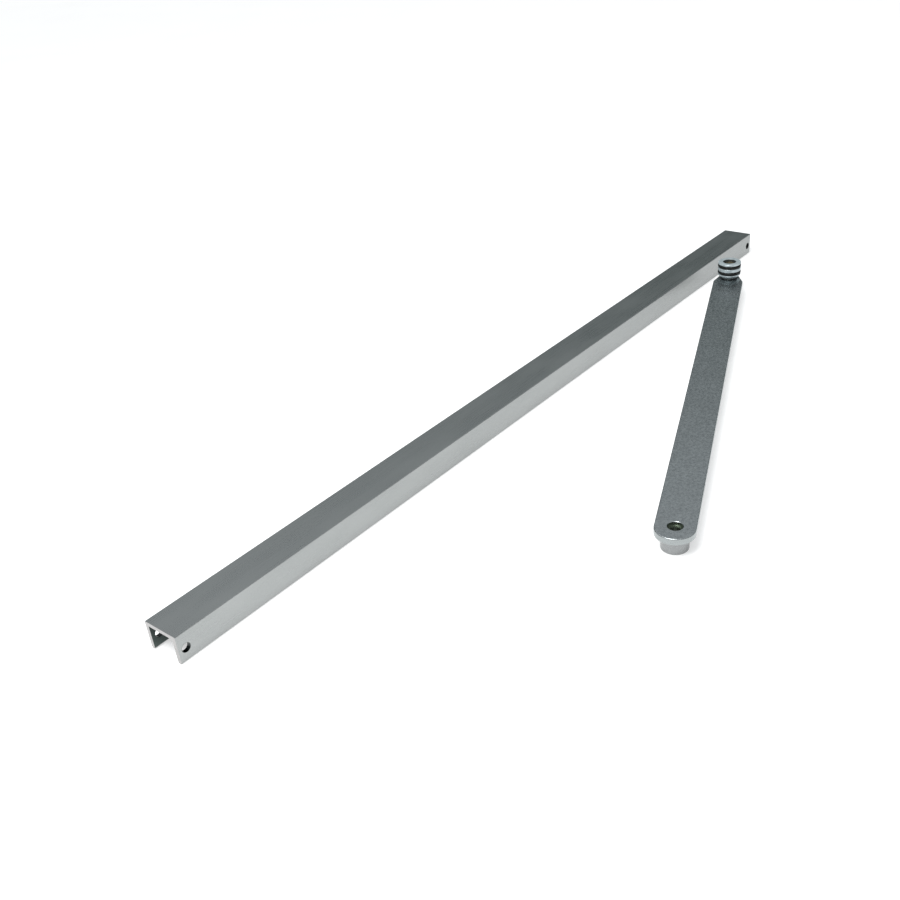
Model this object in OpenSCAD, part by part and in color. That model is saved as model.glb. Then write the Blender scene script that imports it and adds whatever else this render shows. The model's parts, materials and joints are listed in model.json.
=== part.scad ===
// Guide rail and roller arm of a door closer.
// The rail is a channel that opens downwards. The arm is a flat bar with a spindle hub at one end and a
// roller on a riveted pin at the other. The roller runs in the channel when the closer is fitted.
// Origin: centre of the rail's flat top face. +X runs along the rail, +Z points up, out of that face.

/* [Slide rail] */
// Length of the channel
rail_length = 530; // [300:10:800]
// Outside width of the channel
rail_width = 20; // [18:0.5:24]
// Outside height of the channel, from the leg tips to the flat top face
rail_height = 14.5; // [14:0.5:18]
// Thickness of each leg
leg_thickness = 2.2; // [1.8:0.1:2.8]
// Thickness of the web that joins the legs
web_thickness = 2; // [1.8:0.1:2.8]
// Diameter of the cross hole through both legs at each end
cross_hole_d = 4.3; // [3.2:0.1:5.5]
// Distance from the rail's end to the axis of the cross hole
cross_hole_inset = 4; // [4:0.5:12]
// Height of the cross hole's axis above the leg tips
cross_hole_height = 6.6; // [6:0.1:9]

/* [Arm bar] */
// Distance between the spindle axis and the roller axis
arm_centres = 298; // [180:1:400]
// Width of the flat bar
arm_width = 19; // [16:0.5:24]
// Thickness of the flat bar
arm_thickness = 3.5; // [3:0.1:5]
// Bevel along the bar's edges
arm_bevel = 0.5; // [0.2:0.1:0.8]
// How far the bar's end at the spindle reaches past a half circle about the spindle axis
end_overhang = 0.8; // [0:0.1:3]
// Distance before the roller axis from which the bar narrows
taper_start = 7.5; // [4:0.5:12]
// Angle of each side of the bar where it narrows
taper_angle = 18; // [2:1:18]
// Direction of the arm from the roller axis, measured from +X
arm_angle = 201.6; // [182:0.1:358]
// Place of the roller axis along the rail
roller_x = 190; // [-100:0.5:230]
// Distance of the roller axis in front of the rail's middle plane
roller_offset = 30; // [24:0.5:60]

/* [Spindle hub] */
// Diameter of the hub
hub_d = 13; // [12.2:0.1:16]
// Height of the hub below the bar
hub_height = 7.9; // [7:0.1:10]
// Width across the flats of the square spindle socket
socket_size = 7; // [6:0.5:8]
// Depth of the spindle socket
socket_depth = 5; // [3:0.5:6]
// Clearance hole for the spindle screw
screw_hole_d = 5.2; // [4.2:0.1:5.6]
// Hole in the bar that the hub's spigot fills from below
spigot_hole_d = 7.1; // [6.6:0.1:9]
// Length of the hub's spigot inside the bar
spigot_length = 1.1; // [0.8:0.1:2]

/* [Roller] */
// Gap between the metal rings and the channel's legs, both sides together
channel_play = 0.8; // [0.4:0.1:1.2]
// Thickness of the round rubber rings
rubber_section = 2.2; // [1.5:0.1:2.4]
// How far the rubber rings stand out past the metal rings
rubber_lip = 0.15; // [0:0.05:0.15]
// Height of the lowest metal ring
lower_ring_height = 2.3; // [2:0.1:3.5]
// How far the lowest metal ring tapers in towards its bottom
lower_ring_taper = 1.6; // [0.3:0.1:1.8]
// Height of that taper
taper_height = 1.5; // [0.3:0.1:1.6]
// Height of the middle metal ring
middle_ring_height = 2.1; // [1.5:0.1:3.5]
// Height of the top metal ring
top_ring_height = 1.3; // [0.9:0.1:2]
// Diameter of the recess in the roller's top
recess_d = 8.4; // [8.2:0.1:9]
// Depth of the recess in the roller's top
recess_depth = 2.6; // [2:0.1:3]

/* [Pin, bush and washer] */
// Diameter of the pin where the bush turns on it
pin_d = 5; // [4:0.1:5]
// Diameter of the pin where it passes through the bar
pin_tail_d = 4.6; // [3.6:0.1:4.8]
// Diameter of the riveted head at the pin's top
pin_head_d = 6.2; // [5.8:0.1:7]
// Outside diameter of the flanged bush
bush_d = 6.6; // [6.4:0.1:7]
// Diameter of the bush's flange
bush_flange_d = 8; // [7.4:0.1:8]
// Thickness of the bush's flange
bush_flange_thickness = 0.7; // [0.5:0.1:1]
// Diameter of the washer under the roller
washer_d = 10.4; // [8:0.1:12]
// Thickness of the washer under the roller
washer_thickness = 0.7; // [0.5:0.1:1]

/* [Hidden] */
$fn = 96;
// Running clearance, on the radius, of the bush on the pin and of the roller on the bush
running_clearance = 0.05;
// End play between the pieces that turn against each other
end_play = 0.1;
// How far a cutting solid reaches past the face that it cuts
past = 1;
rail_corner_r = 0.4;
rail_root_r = 0.5;
leg_tip_r = leg_thickness / 2;
inner_width = rail_width - 2 * leg_thickness;
spigot_chamfer = 0.2;
hub_chamfer = 0.4;
rivet_depth = 1;
rivet_spread = 1;
head_height = 0.6;
head_slope = 0.6;
ring_chamfer = 0.25;
top_edge_chamfer = 0.4;
groove_play = 0.03;
washer_play = 0.1;
groove_height = rubber_section + 2 * groove_play;
// Heights above the arm bar's top face
roller_bottom = washer_thickness + end_play;
lower_groove_bottom = roller_bottom + lower_ring_height;
lower_groove_top = lower_groove_bottom + groove_height;
upper_groove_bottom = lower_groove_top + middle_ring_height;
upper_groove_top = upper_groove_bottom + groove_height;
roller_top = upper_groove_top + top_ring_height;
recess_floor = roller_top - recess_depth;
flange_bottom = recess_floor + end_play;
flange_top = flange_bottom + bush_flange_thickness;
head_bottom = flange_top + end_play;
// Radii about the roller axis
ring_r = (inner_width - channel_play) / 2;
groove_r = ring_r + rubber_lip - rubber_section - groove_play;
rubber_centre_r = ring_r + rubber_lip - rubber_section / 2;
roller_bore_r = bush_d / 2 + running_clearance;
bush_bore_r = pin_d / 2 + running_clearance;
// Colours
rail_colour = [0.66, 0.68, 0.67];
arm_colour = [0.50, 0.53, 0.53];
hub_colour = [0.62, 0.64, 0.63];
ring_colour = [0.66, 0.73, 0.76];
rubber_colour = [0.06, 0.07, 0.07];
brass_colour = [0.55, 0.45, 0.25];
pin_colour = [0.60, 0.55, 0.42];

// Puts a child that is drawn along +X from the roller axis, with z = 0 on the bar's underside, in place
module on_arm() {
    translate([roller_x, -roller_offset, hub_height - rail_height])
        rotate([0, 0, arm_angle])
            children();
}

// Puts a child that is drawn about Z, with z = 0 on the bar's top face, on the roller axis
module on_roller_axis() {
    on_arm()
        translate([0, 0, arm_thickness])
            children();
}

// Cross-section of the channel: x across the rail, y up, with y = 0 on the top face
module rail_section() {
    translate([-rail_width / 2, -web_thickness])
        square([rail_width, web_thickness - rail_corner_r]);
    translate([-rail_width / 2 + rail_corner_r, -web_thickness])
        square([rail_width - 2 * rail_corner_r, web_thickness]);
    for (side = [-1, 1]) {
        translate([side * (rail_width / 2 - rail_corner_r), -rail_corner_r])
            circle(rail_corner_r);
        translate([side * (rail_width - leg_thickness) / 2, -(rail_height + web_thickness - leg_tip_r) / 2])
            square([leg_thickness, rail_height - web_thickness - leg_tip_r], center = true);
        translate([side * (rail_width - leg_thickness) / 2, leg_tip_r - rail_height])
            circle(leg_tip_r);
        root_fillet(side);
    }
}

// Fillet in the inside corner between the web and one leg
module root_fillet(side) {
    translate([side * (inner_width - rail_root_r) / 2, -web_thickness - rail_root_r / 2])
        difference() {
            square(rail_root_r, center = true);
            translate([-side * rail_root_r / 2, -rail_root_r / 2])
                circle(rail_root_r);
        }
}

module slide_rail() {
    color(rail_colour)
        difference() {
            translate([-rail_length / 2, 0, 0])
                rotate([90, 0, 90])
                    linear_extrude(rail_length)
                        rail_section();
            for (end = [-1, 1])
                translate([end * (rail_length / 2 - cross_hole_inset), 0, cross_hole_height - rail_height])
                    rotate([90, 0, 0])
                        cylinder(d = cross_hole_d, h = rail_width + 2 * past, center = true);
        }
}

// Half of a bevelled edge outline, from the underside to the top, at a distance r from the middle
function bevelled_edge(r, height, bevel) =
    [[r - bevel, 0], [r, bevel], [r, height - bevel], [r - bevel, height]];

function mirrored(points) = [for (i = [len(points) - 1:-1:0]) [-points[i][0], points[i][1]]];

module bevelled_disc(r, height, bevel) {
    rotate_extrude()
        polygon(concat([[0, 0]], bevelled_edge(r, height, bevel), [[0, height]]));
}

// Flat bar with half-round ends centred on x = 0 and x = length
module round_ended_bar(length, width, height, bevel) {
    edge = bevelled_edge(width / 2, height, bevel);
    for (x = [0, length])
        translate([x, 0, 0])
            bevelled_disc(width / 2, height, bevel);
    rotate([90, 0, 90])
        linear_extrude(length)
            polygon(concat(edge, mirrored(edge)));
}

// Block that cuts one side of the bar to its taper at the roller end
module taper_cut(side) {
    block = [arm_width + taper_start, arm_width, arm_thickness + 2 * past];
    translate([taper_start, side * arm_width / 2, -past])
        rotate([0, 0, 180 + side * taper_angle])
            translate([0, -(1 + side) * arm_width / 2, 0])
                cube(block);
}

module arm_bar() {
    color(arm_colour)
        on_arm()
            difference() {
                round_ended_bar(arm_centres + end_overhang, arm_width, arm_thickness, arm_bevel);
                for (side = [-1, 1])
                    taper_cut(side);
                translate([arm_centres, 0, -past])
                    cylinder(d = spigot_hole_d, h = arm_thickness + 2 * past);
                translate([arm_centres, 0, arm_thickness - spigot_chamfer])
                    cylinder(d1 = spigot_hole_d, d2 = spigot_hole_d + 2 * spigot_chamfer, h = spigot_chamfer);
                translate([0, 0, -past])
                    cylinder(d = pin_tail_d, h = arm_thickness + 2 * past);
                cylinder(d1 = pin_tail_d + 2 * rivet_spread, d2 = pin_tail_d, h = rivet_depth);
            }
}

module spindle_hub() {
    hub_r = hub_d / 2;
    color(hub_colour)
        on_arm()
            translate([arm_centres, 0, -hub_height])
                difference() {
                    union() {
                        rotate_extrude()
                            polygon([[0, 0], [hub_r - hub_chamfer, 0], [hub_r, hub_chamfer],
                                     [hub_r, hub_height], [0, hub_height]]);
                        cylinder(d = spigot_hole_d, h = hub_height + spigot_length);
                    }
                    translate([-socket_size / 2, -socket_size / 2, -past])
                        cube([socket_size, socket_size, socket_depth + past]);
                    cylinder(d = screw_hole_d, h = hub_height + spigot_length + past);
                }
}

module roller_pin() {
    tail_r = pin_tail_d / 2;
    body_r = pin_d / 2;
    head_r = pin_head_d / 2;
    color(pin_colour)
        on_roller_axis()
            rotate_extrude()
                polygon([[0, -arm_thickness], [tail_r + rivet_spread, -arm_thickness],
                         [tail_r, rivet_depth - arm_thickness], [tail_r, 0], [body_r, 0],
                         [body_r, head_bottom], [head_r, head_bottom],
                         [head_r - head_slope, head_bottom + head_height],
                         [0, head_bottom + head_height]]);
}

module thrust_washer() {
    color(pin_colour)
        on_roller_axis()
            difference() {
                cylinder(d = washer_d, h = washer_thickness);
                translate([0, 0, -past])
                    cylinder(r = pin_d / 2 + washer_play, h = washer_thickness + 2 * past);
            }
}

module bearing_bush() {
    color(brass_colour)
        on_roller_axis()
            rotate_extrude()
                polygon([[bush_bore_r, roller_bottom], [bush_d / 2, roller_bottom],
                         [bush_d / 2, flange_bottom], [bush_flange_d / 2, flange_bottom],
                         [bush_flange_d / 2, flange_top], [bush_bore_r, flange_top]]);
}

// Outline of one metal ring of the roller, from its bottom to its top
function ring_outline(bottom, top, top_chamfer) =
    [[ring_r - ring_chamfer, bottom], [ring_r, bottom + ring_chamfer],
     [ring_r, top - top_chamfer], [ring_r - top_chamfer, top]];

function groove_outline(bottom, top) = [[groove_r, bottom], [groove_r, top]];

module roller_body() {
    color(ring_colour)
        on_roller_axis()
            rotate_extrude()
                polygon(concat(
                    [[roller_bore_r, roller_bottom], [ring_r - lower_ring_taper, roller_bottom],
                     [ring_r, roller_bottom + taper_height],
                     [ring_r, lower_groove_bottom - ring_chamfer],
                     [ring_r - ring_chamfer, lower_groove_bottom]],
                    groove_outline(lower_groove_bottom, lower_groove_top),
                    ring_outline(lower_groove_top, upper_groove_bottom, ring_chamfer),
                    groove_outline(upper_groove_bottom, upper_groove_top),
                    ring_outline(upper_groove_top, roller_top, top_edge_chamfer),
                    [[recess_d / 2, roller_top], [recess_d / 2, recess_floor],
                     [roller_bore_r, recess_floor]]));
}

// Round rubber ring in the middle of a groove of the roller
module rubber_ring(bottom, top) {
    color(rubber_colour)
        on_roller_axis()
            translate([0, 0, (bottom + top) / 2])
                rotate_extrude()
                    translate([rubber_centre_r, 0])
                        circle(d = rubber_section);
}

module lower_rubber_ring() {
    rubber_ring(lower_groove_bottom, lower_groove_top);
}

module upper_rubber_ring() {
    rubber_ring(upper_groove_bottom, upper_groove_top);
}

slide_rail();
arm_bar();
spindle_hub();
roller_pin();
thrust_washer();
bearing_bush();
roller_body();
lower_rubber_ring();
upper_rubber_ring();
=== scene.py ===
"""Looks for a door closer's slide rail and roller arm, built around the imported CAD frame."""
import json
import math

import bmesh
import bpy
from mathutils import Matrix, Quaternion, Vector


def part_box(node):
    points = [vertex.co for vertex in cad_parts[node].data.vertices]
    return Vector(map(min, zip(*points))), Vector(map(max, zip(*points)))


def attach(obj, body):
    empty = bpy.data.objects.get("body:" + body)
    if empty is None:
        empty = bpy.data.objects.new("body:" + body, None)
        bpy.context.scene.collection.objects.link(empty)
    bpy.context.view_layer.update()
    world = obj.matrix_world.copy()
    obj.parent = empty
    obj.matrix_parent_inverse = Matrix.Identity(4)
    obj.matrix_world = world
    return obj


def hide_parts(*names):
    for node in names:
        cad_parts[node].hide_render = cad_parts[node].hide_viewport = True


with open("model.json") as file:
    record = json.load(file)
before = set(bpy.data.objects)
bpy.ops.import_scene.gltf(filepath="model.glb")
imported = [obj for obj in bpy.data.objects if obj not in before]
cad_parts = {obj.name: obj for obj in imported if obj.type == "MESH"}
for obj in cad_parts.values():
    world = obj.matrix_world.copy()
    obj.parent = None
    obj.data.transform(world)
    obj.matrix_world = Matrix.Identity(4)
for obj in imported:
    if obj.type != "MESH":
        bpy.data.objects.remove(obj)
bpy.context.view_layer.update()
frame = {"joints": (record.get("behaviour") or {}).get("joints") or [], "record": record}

MM = 0.001
LATHE_STEPS = 128
CUTTER_STEPS = 64
SMOOTH_ANGLE = math.radians(32)

# Sizes of shapes that the frame's boxes do not give, in millimetres
LEG = 2.2
WEB = 2.0
RAIL_CORNER = 0.4
RAIL_ROOT = 0.5
RAIL_BREAK = 0.1
BAR_BEVEL = 0.5
END_OVERHANG = 0.8
TAPER_START = 7.5
TAPER_ANGLE = math.radians(18)
LOWER_RING_TAPER = 1.6
TAPER_HEIGHT = 1.5
HOLE_CHAMFER = 0.2
SPIGOT_HOLE_R = 3.55
SPIGOT_LENGTH = 1.1
PIN_TAIL_R = 2.3
RIVET_SPREAD = 1.0
RIVET_DEPTH = 1.0
SOCKET = 7.0
SOCKET_DEPTH = 5.0

# Radii that round the edges of the turned pieces
RIVET_BREAK = 0.05
RING_BREAK = 0.25
TOP_BREAK = 0.56
FINE_BREAK = 0.08
SMALL_BREAK = 0.1
EDGE_BREAK = 0.2
FOOT_BREAK = 0.3
SHOULDER_BREAK = 0.15
TAPER_ROUND = 0.8
HUB_FOOT_ROUND = 0.4
PIN_HEAD_ROUND = 0.5
DIMPLE_RIM_ROUND = 0.4
DIMPLE_ROUND = 0.3

# The roller, its bush, its pin and its rubber rings
RECESS_R = 4.2
RECESS_DEPTH = 2.6
ROLLER_BORE_R = 3.35
LOWER_RING = 2.3
MIDDLE_RING = 2.1
TOP_RING = 1.3
BUSH_BORE_R = 2.55
BUSH_R = 3.3
BUSH_FLANGE = 0.7
PIN_R = 2.5
PIN_HEAD = 0.6
PIN_HEAD_R = 3.1
PIN_HEAD_SLOPE = 0.55
PIN_HEAD_DROP = 0.05
DIMPLE_RIM_R = 1.3
DIMPLE_R = 0.6
DIMPLE_SLOPE = 0.12
DIMPLE_DEPTH = 0.16
WASHER_GAP = 0.1
MOULD_RIDGE = 0.03
RUBBER_STEPS = 36

# How far a cutter reaches past the face that it cuts, and across the rail
OVERCUT = 1.0
CROSS_HOLE_REACH = 20.0
CROSS_HOLE_STEPS = 48


# ---------------------------------------------------------------- places read from the frame

def joint(name):
    """One of the frame's joints."""
    return next(j for j in frame["joints"] if j["name"] == name)


def mount(name):
    """One of the record's mounts."""
    return next(m for m in frame["record"]["mounts"] if m["name"] == name)


RAIL_LOW, RAIL_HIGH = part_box("slide_rail")
BAR_LOW, BAR_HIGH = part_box("arm_bar")
HUB_LOW, HUB_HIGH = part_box("spindle_hub")
RING_LOW, RING_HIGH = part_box("roller_body")
ROLLER_AXIS = Vector(joint("arm_swing")["pos_m"])
SPINDLE_AXIS = Vector(mount("spindle_screw_hole")["pos_m"])
FLOOR_Z = RAIL_LOW.z


# ---------------------------------------------------------------- mesh tools

def rounded(points, steps=5):
    """A closed outline whose corners (x, y, radius) are turned into arcs of that radius."""
    out = []
    count = len(points)
    for i, (x, y, radius) in enumerate(points):
        here = Vector((x, y))
        before = (Vector(points[i - 1][:2]) - here).normalized()
        after = (Vector(points[(i + 1) % count][:2]) - here).normalized()
        if radius <= 0:
            out.append(here)
            continue
        half = before.angle(after) / 2
        centre = here + (before + after).normalized() * (radius / math.sin(half))
        start = here + before * (radius / math.tan(half)) - centre
        turn = (here + after * (radius / math.tan(half)) - centre).angle_signed(start)
        for step in range(steps + 1):
            arm = start.copy()
            arm.rotate(Matrix.Rotation(turn * step / steps, 2))
            out.append(centre + arm)
    return out


def make_object(name, bm):
    """Turns a bmesh into an object in the scene."""
    bmesh.ops.recalc_face_normals(bm, faces=bm.faces)
    mesh = bpy.data.meshes.new(name)
    bm.to_mesh(mesh)
    bm.free()
    obj = bpy.data.objects.new(name, mesh)
    bpy.context.scene.collection.objects.link(obj)
    return obj


def lathe(name, outline, axis, base_z=0.0, steps=LATHE_STEPS):
    """Turns a closed outline of (radius, height), in millimetres, about a vertical axis."""
    bm = bmesh.new()
    rings = []
    for r, z in outline:
        if r < 1e-6:
            rings.append([bm.verts.new((0, 0, z * MM))] * steps)
            continue
        rings.append([bm.verts.new((r * MM * math.cos(a), r * MM * math.sin(a), z * MM))
                      for a in (2 * math.pi * k / steps for k in range(steps))])
    for i, ring in enumerate(rings):
        other = rings[(i + 1) % len(rings)]
        for k in range(steps):
            corners = [ring[k], ring[(k + 1) % steps], other[(k + 1) % steps], other[k]]
            unique = list(dict.fromkeys(corners))
            if len(unique) > 2:
                bm.faces.new(unique)
    bmesh.ops.translate(bm, verts=bm.verts, vec=(axis.x, axis.y, base_z))
    return make_object(name, bm)


def drill(radius, low, high, axis, base_z=0.0, steps=CUTTER_STEPS):
    """A plain round cutter from one height to another, in millimetres above base_z."""
    outline = [(0, low), (radius, low), (radius, high), (0, high)]
    return lathe("cutter", outline, axis, base_z, steps)


def prism(name, outline, depth, matrix):
    """Extrudes a closed outline by depth along its own normal, and places it by the matrix."""
    bm = bmesh.new()
    near = [bm.verts.new((p[0], p[1], 0)) for p in outline]
    far = [bm.verts.new((p[0], p[1], depth)) for p in outline]
    bm.faces.new(near)
    bm.faces.new(far)
    for i in range(len(outline)):
        j = (i + 1) % len(outline)
        bm.faces.new((near[i], near[j], far[j], far[i]))
    bmesh.ops.transform(bm, matrix=matrix, verts=bm.verts)
    return make_object(name, bm)


def settle(obj):
    """Applies an object's modifiers."""
    graph = bpy.context.evaluated_depsgraph_get()
    mesh = bpy.data.meshes.new_from_object(obj.evaluated_get(graph))
    obj.modifiers.clear()
    obj.data = mesh
    return obj


def carve(obj, cutter):
    """Cuts cutter out of obj."""
    cut = obj.modifiers.new("cut", "BOOLEAN")
    cut.operation = "DIFFERENCE"
    cut.solver = "EXACT"
    cut.object = cutter
    settle(obj)
    bpy.data.objects.remove(cutter)
    return obj


def round_edges(obj, width, steps, angle):
    """Rounds the edges that turn by more than angle degrees, over a width in millimetres."""
    bevel = obj.modifiers.new("round", "BEVEL")
    bevel.width = width * MM
    bevel.segments = steps
    bevel.limit_method = "ANGLE"
    bevel.angle_limit = math.radians(angle)
    bevel.use_clamp_overlap = False
    return settle(obj)


def shade(obj):
    """Smooth shading that keeps flat faces flat and hard edges hard."""
    for polygon in obj.data.polygons:
        polygon.use_smooth = True
    obj.data.set_sharp_from_angle(angle=SMOOTH_ANGLE)
    weighted = obj.modifiers.new("normals", "WEIGHTED_NORMAL")
    weighted.keep_sharp = True
    weighted.weight = 100
    return settle(obj)


def place(obj, node, body, material):
    """Puts a finished piece in the place of a CAD node."""
    shade(obj)
    obj.data.materials.clear()
    obj.data.materials.append(material)
    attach(obj, body)
    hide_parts(node)
    return obj


# ---------------------------------------------------------------- material tools

# The mix node's colour sockets, which share their names with its number and vector sockets
COLOUR_A, COLOUR_B, COLOUR_RESULT = 6, 7, 2


class Nodes:
    """A small builder for one material's node tree."""

    def __init__(self, name):
        self.material = bpy.data.materials.new(name)
        self.material.use_nodes = True
        self.tree = self.material.node_tree
        self.shader = self.tree.nodes["Principled BSDF"]
        self.object_space = self.add("ShaderNodeTexCoord").outputs["Object"]

    def add(self, kind, **values):
        node = self.tree.nodes.new(kind)
        for key, value in values.items():
            setattr(node, key, value)
        return node

    def link(self, source, target):
        self.tree.links.new(source, target)

    def noise(self, scale, detail=2.0, roughness=0.5, offset=0.0):
        """Noise whose grains are scale millimetres long along X, Y and Z. The offset moves it, so
        that two noises of one size differ."""
        mapping = self.add("ShaderNodeMapping")
        mapping.inputs["Location"].default_value = (offset, offset * 0.7, offset * 1.3)
        mapping.inputs["Scale"].default_value = [1 / (s * MM) for s in scale]
        self.link(self.object_space, mapping.inputs["Vector"])
        noise = self.add("ShaderNodeTexNoise")
        noise.inputs["Scale"].default_value = 1.0
        noise.inputs["Detail"].default_value = detail
        noise.inputs["Roughness"].default_value = roughness
        self.link(mapping.outputs["Vector"], noise.inputs["Vector"])
        return noise.outputs["Fac"]

    def cells(self, size):
        """A random grey for each cell of about size millimetres."""
        mapping = self.add("ShaderNodeMapping")
        mapping.inputs["Scale"].default_value = [1 / (size * MM)] * 3
        self.link(self.object_space, mapping.inputs["Vector"])
        voronoi = self.add("ShaderNodeTexVoronoi")
        voronoi.inputs["Scale"].default_value = 1.0
        self.link(mapping.outputs["Vector"], voronoi.inputs["Vector"])
        split = self.add("ShaderNodeSeparateColor")
        self.link(voronoi.outputs["Color"], split.inputs["Color"])
        return split.outputs["Red"]

    def span(self, value, low, high, start=0.3, end=0.7):
        """Maps a value between start and end to low to high, and holds it there beyond."""
        node = self.add("ShaderNodeMapRange")
        node.inputs["From Min"].default_value = start
        node.inputs["From Max"].default_value = end
        node.inputs["To Min"].default_value = low
        node.inputs["To Max"].default_value = high
        self.link(value, node.inputs["Value"])
        return node.outputs["Result"]

    def below(self, value, limit, fade, level=1):
        """level where the value is under the limit, falling to 0 over fade millimetres."""
        return self.span(value, level, 0, limit, limit + fade * MM)

    def split(self, vector):
        """The X, Y and Z of a vector."""
        node = self.add("ShaderNodeSeparateXYZ")
        self.link(vector, node.inputs["Vector"])
        return node.outputs["X"], node.outputs["Y"], node.outputs["Z"]

    def math(self, operation, a, b=0.0):
        node = self.add("ShaderNodeMath", operation=operation)
        for socket, value in zip(node.inputs, (a, b)):
            if isinstance(value, (int, float)):
                socket.default_value = value
            else:
                self.link(value, socket)
        return node.outputs["Value"]

    def mix(self, factor, a, b):
        """Mixes two colours by a factor."""
        node = self.add("ShaderNodeMix", data_type="RGBA")
        self.link(factor, node.inputs["Factor"])
        for socket, value in ((node.inputs[COLOUR_A], a), (node.inputs[COLOUR_B], b)):
            if isinstance(value, tuple):
                socket.default_value = (*value, 1)
            else:
                self.link(value, socket)
        return node.outputs[COLOUR_RESULT]

    def bump(self, height, depth, under=None):
        """A bump depth millimetres deep, over the bump under it if there is one."""
        node = self.add("ShaderNodeBump")
        node.inputs["Strength"].default_value = 1.0
        node.inputs["Distance"].default_value = depth * MM
        self.link(height, node.inputs["Height"])
        if under is not None:
            self.link(under, node.inputs["Normal"])
        return node.outputs["Normal"]

    def finish(self, colour, roughness, normal=None, metallic=1.0):
        self.link(colour, self.shader.inputs["Base Color"])
        self.link(roughness, self.shader.inputs["Roughness"])
        if normal is not None:
            self.link(normal, self.shader.inputs["Normal"])
        self.shader.inputs["Metallic"].default_value = metallic
        return self.material


# Colours that the materials mix, darker one first where there are two
RAIL_SATIN = (0.322, 0.336, 0.333), (0.365, 0.379, 0.376)
RAIL_SPECK = (0.25, 0.262, 0.26)
RAIL_RUB = (0.37, 0.38, 0.377)
RAIL_SAWN = (0.34, 0.335, 0.333), (0.42, 0.412, 0.408)
# Painted shade for the channel's inside, between the legs and under the web
RAIL_INSIDE_PAINTED_SHADE = (0.05, 0.065, 0.062), (0.1, 0.12, 0.115)
# Painted shade for the walls and rims of the cross holes
RAIL_HOLE_PAINTED_SHADE = (0.03, 0.036, 0.036)
ROLLER_ZINC = (0.37, 0.43, 0.45), (0.46, 0.525, 0.545)
PIN_ZINC = (0.13, 0.10, 0.05), (0.3, 0.22, 0.11)
BUSH_BRASS = (0.07, 0.06, 0.03), (0.16, 0.13, 0.06)
WASHER_STEEL = (0.12, 0.125, 0.125), (0.2, 0.21, 0.21)
RUBBER = (0.004, 0.005, 0.005), (0.012, 0.014, 0.014)
FLOOR = (0.59, 0.59, 0.59), (0.61, 0.61, 0.61)

# The lacquer's colours, as parts of its base brightness
LACQUER_DARKER = (0.33, 0.28, 0.26)
LACQUER_LIGHTER = (0.12, 0.2, 0.22)
LACQUER_FLAKE = (1.4, 1.48, 1.5)
LACQUER_CLOUD = (0.75, 0.79, 0.8)
LACQUER_SIDE = (0.93, 1.0, 1.0)
# Painted shade for the spindle hole's wall
LACQUER_HOLE_PAINTED_SHADE = (0.8, 0.9, 0.76)
# Painted shade for the roller's recess, as a part of the metal's darker colour
RECESS_PAINTED_SHADE = 0.18

# Where one look gives way to another: how far it reaches past or below an edge, in millimetres
CROSS_HOLE_RIM = 0.08
INSIDE_MARGIN = 0.02
SAWN_FADE = 0.05
SIDE_TOP = 0.25
HOLE_TOP = 0.3
RECESS_TOP = 0.35


def shades(base, parts):
    """A colour whose channels are the given parts of a base brightness."""
    return tuple(base * part for part in parts)


def cross_hole_shade_mask(n, x, z):
    """1 on the walls and the rims of the rail's two cross holes, where painted shade darkens them, 0
    elsewhere.
    """
    hole = mount("right_cross_hole")
    radius = hole["dims"]["r_mm"] * MM
    along = n.math("SUBTRACT", n.math("ABSOLUTE", x), hole["pos_m"][0])
    above = n.math("SUBTRACT", z, hole["pos_m"][2])
    squares = n.math("ADD", n.math("MULTIPLY", along, along), n.math("MULTIPLY", above, above))
    return n.below(n.math("SQRT", squares), radius + CROSS_HOLE_RIM * MM, fade=0.14)


def rail_material():
    """Satin silver profile: fine draw lines along its length, a faint cloudiness and a few rubs.
    Its sawn ends are bare metal, and its inside and its cross holes are painted dark as painted
    shade."""
    n = Nodes("rail_satin_silver")
    lines = n.noise((90, 0.35, 0.35), detail=3, roughness=0.6)
    cloud = n.noise((45, 14, 14), detail=3, offset=3)
    speck = n.noise((0.5, 0.5, 0.5), detail=2, offset=7)
    rubs = n.noise((30, 1.2, 1.2), detail=4, roughness=0.7, offset=11)
    saw = n.noise((6, 4, 0.2), detail=3, offset=14)
    x, y, z = n.split(n.object_space)
    colour = n.mix(n.span(cloud, 0, 1), *RAIL_SATIN)
    colour = n.mix(n.span(speck, 0, 0.35), colour, RAIL_SPECK)
    colour = n.mix(n.span(rubs, 0, 0.5, start=0.62, end=0.78), colour, RAIL_RUB)
    cut_x = RAIL_HIGH.x - RAIL_BREAK * MM
    cut = n.span(n.math("ABSOLUTE", x), 0, 1, start=cut_x, end=cut_x + SAWN_FADE * MM)
    colour = n.mix(cut, colour, n.mix(n.span(saw, 0, 1), *RAIL_SAWN))
    # Painted shade: the channel's inside, between the legs and under the web, is painted dark
    inner = (RAIL_HIGH.y - RAIL_LOW.y) / 2 - LEG * MM
    between_legs = n.below(n.math("ABSOLUTE", y), inner + INSIDE_MARGIN * MM, fade=0.08)
    inside = n.math("MULTIPLY", between_legs, n.below(z, -WEB * MM, fade=0.1))
    colour = n.mix(inside, colour, n.mix(n.span(cloud, 0, 1), *RAIL_INSIDE_PAINTED_SHADE))
    # Painted shade: the cross holes' walls and rims are painted nearly black
    colour = n.mix(cross_hole_shade_mask(n, x, z), colour, RAIL_HOLE_PAINTED_SHADE)
    rough = n.math("ADD", n.span(lines, 0.25, 0.33), n.span(cloud, -0.03, 0.04))
    rough = n.math("ADD", rough, n.span(speck, -0.02, 0.03))
    normal = n.bump(lines, 0.004)
    normal = n.bump(speck, 0.003, under=normal)
    return n.finish(colour, rough, normal)


def from_axis(n, axis):
    """The distance of each point from a vertical axis, and its height."""
    mapping = n.add("ShaderNodeMapping")
    mapping.inputs["Location"].default_value = (-axis.x, -axis.y, 0)
    n.link(n.object_space, mapping.inputs["Vector"])
    x, y, z = n.split(mapping.outputs["Vector"])
    squares = n.math("ADD", n.math("MULTIPLY", x, x), n.math("MULTIPLY", y, y))
    return n.math("SQRT", squares), z


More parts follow.
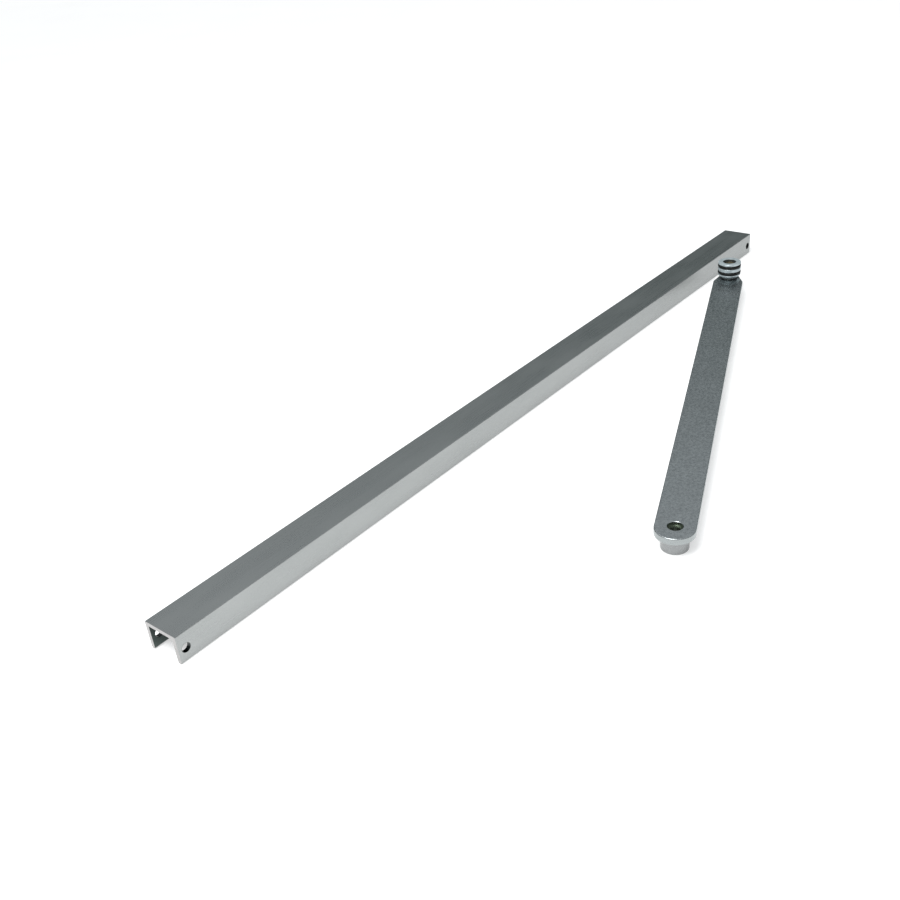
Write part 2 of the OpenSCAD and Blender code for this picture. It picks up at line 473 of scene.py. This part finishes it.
def arm_material(name="arm_silver_lacquer", base=0.36, contrast=1.0, edge=0.8):
    """Silver-grey lacquer over rolled steel: mottled in grains of about a millimetre, plainer on
    the sides by the share edge, and painted darker and greener in the spindle hole as painted shade."""
    n = Nodes(name)
    flakes = n.cells(0.5)
    mottle = n.noise((1.3, 1.3, 1.3), detail=3, roughness=0.6, offset=2)
    cloud = n.noise((24, 24, 24), detail=3, offset=5)
    pits = n.noise((0.7, 0.7, 0.7), detail=1, offset=9)
    distance, height = from_axis(n, SPINDLE_AXIS)
    dark = shades(base, [1 - part * contrast for part in LACQUER_DARKER])
    light = shades(base, [1 + part * contrast for part in LACQUER_LIGHTER])
    colour = n.mix(n.span(mottle, 0, 1, start=0.34, end=0.66), dark, light)
    shine = n.span(flakes, 0, 0.4 * contrast, start=0.3, end=1)
    colour = n.mix(shine, colour, shades(base, LACQUER_FLAKE))
    colour = n.mix(n.span(cloud, 0, 0.25), colour, shades(base, LACQUER_CLOUD))
    side = n.below(height, BAR_HIGH.z - SIDE_TOP * MM, fade=0.2, level=edge)
    colour = n.mix(side, colour, shades(base, LACQUER_SIDE))
    # Painted shade: the spindle hole's wall, under the bar's top, is painted darker and greener
    hole = n.math("MULTIPLY", n.below(distance, SPIGOT_HOLE_R * MM, fade=0.04),
                  n.below(height, BAR_HIGH.z - HOLE_TOP * MM, fade=0.1))
    colour = n.mix(hole, colour, shades(base, LACQUER_HOLE_PAINTED_SHADE))
    rough = n.math("ADD", n.span(mottle, 0.24, 0.34), n.span(flakes, -0.05, 0.05, start=0, end=1))
    normal = n.bump(mottle, 0.005)
    normal = n.bump(n.span(pits, 0, 1, start=0.25, end=0.4), 0.003, under=normal)
    return n.finish(colour, rough, normal)


def turned_material(name, colours, axis, rough=(0.16, 0.3), pitch=0.12, depth=0.004, metallic=1.0,
                    recess_z=None):
    """Turned metal: fine tool rings about a vertical axis, and a faint stain. With recess_z, the
    roller's recess under that height is painted dark as painted shade."""
    n = Nodes(name)
    radius, height = from_axis(n, axis)
    rings = n.add("ShaderNodeTexNoise", noise_dimensions="1D")
    rings.inputs["Scale"].default_value = 1 / (pitch * MM)
    rings.inputs["Detail"].default_value = 2
    n.link(n.math("ADD", radius, height), rings.inputs["W"])
    stain = n.noise((3, 3, 3), detail=3, offset=4)
    colour = n.mix(n.span(stain, 0, 1), *colours)
    if recess_z is not None:
        # Painted shade: the roller's recess below its rim is painted dark
        recess = n.math("MULTIPLY", n.below(radius, RECESS_R * MM, fade=0.05),
                        n.below(height, recess_z - RECESS_TOP * MM, fade=0.1))
        colour = n.mix(recess, colour, shades(RECESS_PAINTED_SHADE, colours[0]))
    roughness = n.math("ADD", n.span(rings.outputs["Fac"], *rough), n.span(stain, -0.03, 0.05))
    normal = n.bump(rings.outputs["Fac"], depth)
    return n.finish(colour, roughness, normal, metallic)


def rubber_material():
    """Black rubber, slightly dusty."""
    n = Nodes("black_rubber")
    grain = n.noise((0.12, 0.12, 0.12), detail=3, offset=6)
    dust = n.noise((2.5, 2.5, 2.5), detail=3, offset=8)
    colour = n.mix(n.span(dust, 0, 1, start=0.45, end=0.75), *RUBBER)
    n.shader.inputs["Specular IOR Level"].default_value = 0.25
    return n.finish(colour, n.span(grain, 0.5, 0.68), n.bump(grain, 0.01), metallic=0.0)


# ---------------------------------------------------------------- pieces

def arc(x, y, radius, first, last, steps=8):
    """Points of an arc about (x, y) from one angle to another, in degrees."""
    angles = [math.radians(first + (last - first) * k / steps) for k in range(steps + 1)]
    return [(x + radius * math.cos(a), y + radius * math.sin(a)) for a in angles]


def rail_paths():
    """The channel's outer and inner outline, from one leg tip to the other, in millimetres.
    Both have the same number of points, and share the middle of each tip."""
    half = (RAIL_HIGH.y - RAIL_LOW.y) / 2 / MM
    inner = half - LEG
    tip = LEG / 2
    tip_y = tip - (RAIL_HIGH.z - RAIL_LOW.z) / MM
    outside = arc(half - tip, tip_y, tip, -90, 0)
    outside += arc(half - RAIL_CORNER, -RAIL_CORNER, RAIL_CORNER, 0, 90)
    inside = arc(half - tip, tip_y, tip, 270, 180)
    inside += arc(inner - RAIL_ROOT, -WEB - RAIL_ROOT, RAIL_ROOT, 0, 90)
    return [half_path + [(-x, y) for x, y in reversed(half_path)]
            for half_path in (outside, inside)]


def build_rail():
    """The U-channel, open downwards, with a cross hole through both legs near each end."""
    outside, inside = rail_paths()
    count = len(outside)
    bm = bmesh.new()
    ends = []
    for x in (RAIL_LOW.x, RAIL_HIGH.x):
        outer = [bm.verts.new((x, p[0] * MM, RAIL_HIGH.z + p[1] * MM)) for p in outside]
        inner = [bm.verts.new((x, p[0] * MM, RAIL_HIGH.z + p[1] * MM)) for p in inside[1:-1]]
        inner = [outer[0]] + inner + [outer[-1]]
        ends.append((outer, inner))
        for i in range(count - 1):
            corners = (outer[i], outer[i + 1], inner[i + 1], inner[i])
            bm.faces.new(list(dict.fromkeys(corners)))
    for near, far in zip(*ends):
        for i in range(count - 1):
            bm.faces.new((near[i], near[i + 1], far[i + 1], far[i]))
    rail = make_object("rail_profile", bm)
    for name in ("left_cross_hole", "right_cross_hole"):
        hole = mount(name)
        cutter = drill(hole["dims"]["r_mm"], -CROSS_HOLE_REACH, CROSS_HOLE_REACH, Vector((0, 0, 0)),
                       steps=CROSS_HOLE_STEPS)
        cutter.data.transform(Matrix.Rotation(math.pi / 2, 4, "X"))
        cutter.data.transform(Matrix.Translation(hole["pos_m"]))
        carve(rail, cutter)
    round_edges(rail, RAIL_BREAK, steps=2, angle=40)
    place(rail, "slide_rail", "rail", rail_material())


def bar_outline(half, length):
    """Outline of the bar in millimetres, from its round spindle end at x = 0 to its roller end,
    which narrows to a smaller round tip."""
    start = length - TAPER_START
    slope = math.tan(TAPER_ANGLE)
    # Where the tapered side meets the round tip, as an angle about the roller axis
    foot = math.cos(TAPER_ANGLE) * (half - slope * TAPER_START)
    meet = math.pi / 2 - TAPER_ANGLE - math.acos(foot / half)
    steps = 48
    points = [(start, -half)]
    for k in range(steps + 1):
        a = meet * (2 * k / steps - 1)
        points.append((length + half * math.cos(a), half * math.sin(a)))
    points.append((start, half))
    for k in range(steps + 1):
        a = math.pi * (0.5 + k / steps)
        points.append((half * math.cos(a) - END_OVERHANG, half * math.sin(a)))
    return points


def build_arm():
    """The flat bar, with the holes for the hub's spigot and the pin's rivet."""
    span = Vector((ROLLER_AXIS.x - SPINDLE_AXIS.x, ROLLER_AXIS.y - SPINDLE_AXIS.y))
    along = span.normalized()
    half = (SPINDLE_AXIS.y - BAR_LOW.y) / MM - END_OVERHANG * along.y
    thickness = BAR_HIGH.z - BAR_LOW.z
    turn = Matrix(((along.x, -along.y, 0, SPINDLE_AXIS.x), (along.y, along.x, 0, SPINDLE_AXIS.y),
                   (0, 0, 1, BAR_LOW.z), (0, 0, 0, 1)))
    outline = [(x * MM, y * MM) for x, y in bar_outline(half, span.length / MM)]
    arm = prism("arm_flat_bar", outline, thickness, turn)
    round_edges(arm, BAR_BEVEL, steps=4, angle=60)
    t = thickness / MM
    low, high = -OVERCUT, t + OVERCUT
    mouth = SPIGOT_HOLE_R + HOLE_CHAMFER
    hole = [(0, low), (SPIGOT_HOLE_R, low), (SPIGOT_HOLE_R, t - HOLE_CHAMFER), (mouth, t),
            (mouth, high), (0, high)]
    carve(arm, lathe("cutter", hole, SPINDLE_AXIS, BAR_LOW.z, CUTTER_STEPS))
    spread = PIN_TAIL_R + RIVET_SPREAD
    rivet = [(0, low), (spread, low), (spread, 0), (PIN_TAIL_R, RIVET_DEPTH), (PIN_TAIL_R, high),
             (0, high)]
    carve(arm, lathe("cutter", rivet, ROLLER_AXIS, BAR_LOW.z, CUTTER_STEPS))
    place(arm, "arm_bar", "arm", arm_material())


def build_hub():
    """The round boss under the bar, with its square socket and screw hole."""
    r = (HUB_HIGH.x - HUB_LOW.x) / 2 / MM
    top = (HUB_HIGH.z - HUB_LOW.z) / MM
    shoulder = top - SPIGOT_LENGTH
    outline = rounded([
        (0, 0, 0), (r, 0, HUB_FOOT_ROUND), (r, shoulder, SHOULDER_BREAK),
        (SPIGOT_HOLE_R, shoulder, 0), (SPIGOT_HOLE_R, top, SHOULDER_BREAK), (0, top, 0),
    ])
    hub = lathe("spindle_boss", outline, SPINDLE_AXIS, HUB_LOW.z)
    screw = mount("spindle_screw_hole")["dims"]["r_mm"]
    carve(hub, drill(screw, -OVERCUT, top + OVERCUT, SPINDLE_AXIS, HUB_LOW.z))
    s = SOCKET / 2 * MM
    angle = math.atan2(ROLLER_AXIS.y - SPINDLE_AXIS.y, ROLLER_AXIS.x - SPINDLE_AXIS.x)
    below_hub = (SPINDLE_AXIS.x, SPINDLE_AXIS.y, HUB_LOW.z - OVERCUT * MM)
    square = prism("cutter", [(-s, -s), (s, -s), (s, s), (-s, s)], (SOCKET_DEPTH + OVERCUT) * MM,
                   Matrix.Translation(below_hub) @ Matrix.Rotation(angle, 4, "Z"))
    carve(hub, square)
    lacquer = arm_material("hub_silver_lacquer", base=0.31, contrast=0.35, edge=0.0)
    place(hub, "spindle_hub", "arm", lacquer)


def build_roller():
    """The turned roller: three metal rings, with a rubber ring in each groove between them."""
    r = (RING_HIGH.x - RING_LOW.x) / 2 / MM
    rubber_low, rubber_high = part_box("lower_rubber_ring")
    section = (rubber_high.z - rubber_low.z) / MM
    outer = (rubber_high.x - rubber_low.x) / 2 / MM
    top = (RING_HIGH.z - RING_LOW.z) / MM
    groove = (top - LOWER_RING - MIDDLE_RING - TOP_RING) / 2
    root = outer - section - (groove - section) / 2
    z1, z2 = LOWER_RING, LOWER_RING + groove
    z3, z4 = z2 + MIDDLE_RING, z2 + MIDDLE_RING + groove
    floor = top - RECESS_DEPTH
    outline = rounded([
        (ROLLER_BORE_R, 0, SMALL_BREAK), (r - LOWER_RING_TAPER, 0, FOOT_BREAK),
        (r, TAPER_HEIGHT, TAPER_ROUND), (r, z1, RING_BREAK), (root, z1, 0),
        (root, z2, 0), (r, z2, RING_BREAK), (r, z3, RING_BREAK), (root, z3, 0),
        (root, z4, 0), (r, z4, RING_BREAK), (r, top, TOP_BREAK), (RECESS_R, top, FOOT_BREAK),
        (RECESS_R, floor, SHOULDER_BREAK), (ROLLER_BORE_R, floor, FINE_BREAK),
    ])
    metal = turned_material("roller_zinc", ROLLER_ZINC, ROLLER_AXIS, rough=(0.26, 0.34),
                            depth=0.002, metallic=0.4, recess_z=RING_HIGH.z)
    roller = lathe("roller_rings", outline, ROLLER_AXIS, RING_LOW.z)
    place(roller, "roller_body", "roller", metal)
    rubber = rubber_material()
    for node in ("lower_rubber_ring", "upper_rubber_ring"):
        low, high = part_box(node)
        build_rubber_ring(node, low, high, rubber)


def build_rubber_ring(node, low, high, rubber):
    """Round-section ring with the fine parting line that its mould leaves."""
    section = (high.z - low.z) / 2 / MM
    centre = (high.x - low.x) / 2 / MM - section
    outline = []
    for k in range(RUBBER_STEPS):
        a = 2 * math.pi * k / RUBBER_STEPS
        r = section if k == 0 else section - MOULD_RIDGE
        outline.append((centre + r * math.cos(a), section + r * math.sin(a)))
    ring = lathe(node.replace("rubber_ring", "o_ring"), outline, ROLLER_AXIS, low.z)
    place(ring, node, "roller", rubber)


def build_pin():
    """The roller's pin, riveted under the bar, with a dimpled head in the roller's recess."""
    low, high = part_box("roller_pin")
    top = (high.z - low.z) / MM
    bar = (BAR_HIGH.z - BAR_LOW.z) / MM
    head = top - PIN_HEAD
    outline = rounded([
        (0, 0, 0), (PIN_TAIL_R + RIVET_SPREAD, 0, RIVET_BREAK), (PIN_TAIL_R, RIVET_DEPTH, EDGE_BREAK),
        (PIN_TAIL_R, bar, 0), (PIN_R, bar, 0), (PIN_R, head, 0), (PIN_HEAD_R, head, SMALL_BREAK),
        (PIN_HEAD_R - PIN_HEAD_SLOPE, top - PIN_HEAD_DROP, PIN_HEAD_ROUND),
        (DIMPLE_RIM_R, top, DIMPLE_RIM_ROUND), (DIMPLE_R, top - DIMPLE_SLOPE, DIMPLE_ROUND),
        (0, top - DIMPLE_DEPTH, 0),
    ])
    metal = turned_material("pin_yellow_zinc", PIN_ZINC, ROLLER_AXIS, rough=(0.2, 0.36), pitch=0.2)
    pin = lathe("riveted_pin", outline, ROLLER_AXIS, low.z)
    place(pin, "roller_pin", "arm", metal)


def build_bush():
    """The flanged bush between the pin and the roller."""
    low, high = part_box("bearing_bush")
    top = (high.z - low.z) / MM
    flange = (high.x - low.x) / 2 / MM
    under = top - BUSH_FLANGE
    outline = rounded([
        (BUSH_BORE_R, 0, FINE_BREAK), (BUSH_R, 0, EDGE_BREAK), (BUSH_R, under, 0),
        (flange, under, SMALL_BREAK), (flange, top, EDGE_BREAK), (BUSH_BORE_R, top, SMALL_BREAK),
    ])
    metal = turned_material("bush_oiled_brass", BUSH_BRASS, ROLLER_AXIS, rough=(0.22, 0.4),
                            pitch=0.15)
    bush = lathe("flanged_bush", outline, ROLLER_AXIS, low.z)
    place(bush, "bearing_bush", "carriage", metal)


def build_washer():
    """The washer between the roller and the bar."""
    low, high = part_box("thrust_washer")
    top = (high.z - low.z) / MM
    r = (high.x - low.x) / 2 / MM
    bore = PIN_R + WASHER_GAP
    outline = rounded([
        (bore, 0, 0), (r, 0, FINE_BREAK), (r, top, EDGE_BREAK), (bore, top, FINE_BREAK),
    ])
    metal = turned_material("washer_dull_steel", WASHER_STEEL, ROLLER_AXIS, rough=(0.35, 0.5))
    washer = lathe("roller_washer", outline, ROLLER_AXIS, low.z)
    place(washer, "thrust_washer", "arm", metal)


# ---------------------------------------------------------------- stage, light and camera

FLOOR_SIZE = 40
FLOOR_GLOW = 0.5


def build_floor():
    """Pale floor that glows a little, so that it stays plain and nearly white."""
    bpy.ops.mesh.primitive_plane_add(size=FLOOR_SIZE, location=(0, 0, FLOOR_Z))
    floor = bpy.context.object
    floor.name = "studio_floor"
    n = Nodes("pale_floor")
    soft = n.noise((120, 120, 120), detail=2)
    colour = n.mix(n.span(soft, 0, 1), *FLOOR)
    n.shader.inputs["Emission Color"].default_value = (1, 1, 1, 1)
    n.shader.inputs["Emission Strength"].default_value = FLOOR_GLOW
    floor.data.materials.append(n.finish(colour, n.span(soft, 0.75, 0.8), metallic=0.0))


# Colour of the studio surround by height, from the horizon (0) to straight up (1)
WORLD_STOPS = (
    (0.0, (0.02, 0.03, 0.029)),
    (0.2, (0.03, 0.043, 0.041)),
    (0.36, (0.1, 0.137, 0.132)),
    (0.61, (0.73, 0.76, 0.785)),
    (1.0, (0.6, 0.61, 0.615)),
)


def build_world():
    """Studio surround: a dim horizon under a broad overhead softbox."""
    world = bpy.data.worlds.new("studio")
    bpy.context.scene.world = world
    world.use_nodes = True
    nodes, links = world.node_tree.nodes, world.node_tree.links
    direction = nodes.new("ShaderNodeTexCoord")
    split = nodes.new("ShaderNodeSeparateXYZ")
    ramp = nodes.new("ShaderNodeValToRGB")
    stops = ramp.color_ramp.elements
    while len(stops) < len(WORLD_STOPS):
        stops.new(0.5)
    for stop, (height, colour) in zip(stops, WORLD_STOPS):
        stop.position = height
        stop.color = (*colour, 1)
    links.new(direction.outputs["Generated"], split.inputs["Vector"])
    links.new(split.outputs["Z"], ramp.inputs["Fac"])
    links.new(ramp.outputs["Color"], nodes["Background"].inputs["Color"])


KEY_ENERGY = 0.9
KEY_ANGLE = math.radians(50)
KEY_FROM = (-0.4, 0.0, 0.9)
SOFTBOX_ENERGY = 9.0
SOFTBOX_SIZE = 0.5
SOFTBOX_PLACE = (-0.55, -0.05, 0.9)
SOFTBOX_FROM = (-0.42, -0.05, 0.9)


def add_lamp(name, kind, energy, direction):
    """A lamp that shines from the given direction."""
    light = bpy.data.lights.new(name, kind)
    light.energy = energy
    lamp = bpy.data.objects.new(name, light)
    lamp.rotation_mode = "QUATERNION"
    lamp.rotation_quaternion = Vector(direction).to_track_quat("Z", "Y")
    bpy.context.scene.collection.objects.link(lamp)
    return lamp


def build_lights():
    """A broad key from the upper left, and a nearer softbox at the left end."""
    add_lamp("soft_key", "SUN", KEY_ENERGY, KEY_FROM).data.angle = KEY_ANGLE
    softbox = add_lamp("left_softbox", "AREA", SOFTBOX_ENERGY, SOFTBOX_FROM)
    softbox.data.size = SOFTBOX_SIZE
    softbox.location = SOFTBOX_PLACE


CAMERA_AIM = Vector((-0.0721, 0.0028, FLOOR_Z + 0.0003))
CAMERA_DISTANCE = 0.5654
CAMERA_YAW = math.radians(41.80)
CAMERA_ELEVATION = math.radians(30.25)
CAMERA_ROLL = math.radians(-5.87)
CAMERA_LENS = 42.08


def build_camera():
    """Looks at the aim point from the front left, about 30 degrees above the floor."""
    forward = Vector((math.cos(CAMERA_YAW) * math.cos(CAMERA_ELEVATION),
                      math.sin(CAMERA_YAW) * math.cos(CAMERA_ELEVATION), -math.sin(CAMERA_ELEVATION)))
    camera = bpy.data.cameras.new("camera")
    camera.lens = CAMERA_LENS
    camera.sensor_width = 36
    camera.clip_start = 0.01
    obj = bpy.data.objects.new("camera", camera)
    obj.location = CAMERA_AIM - forward * CAMERA_DISTANCE
    obj.rotation_mode = "QUATERNION"
    obj.rotation_quaternion = forward.to_track_quat("-Z", "Y") @ Quaternion((0, 0, 1), CAMERA_ROLL)
    bpy.context.scene.collection.objects.link(obj)
    bpy.context.scene.camera = obj


build_camera()
build_world()
build_lights()
build_floor()
build_rail()
build_arm()
build_hub()
build_roller()
build_pin()
build_bush()
build_washer()
bpy.context.scene.view_settings.view_transform = "Standard"
bpy.context.view_layer.update()
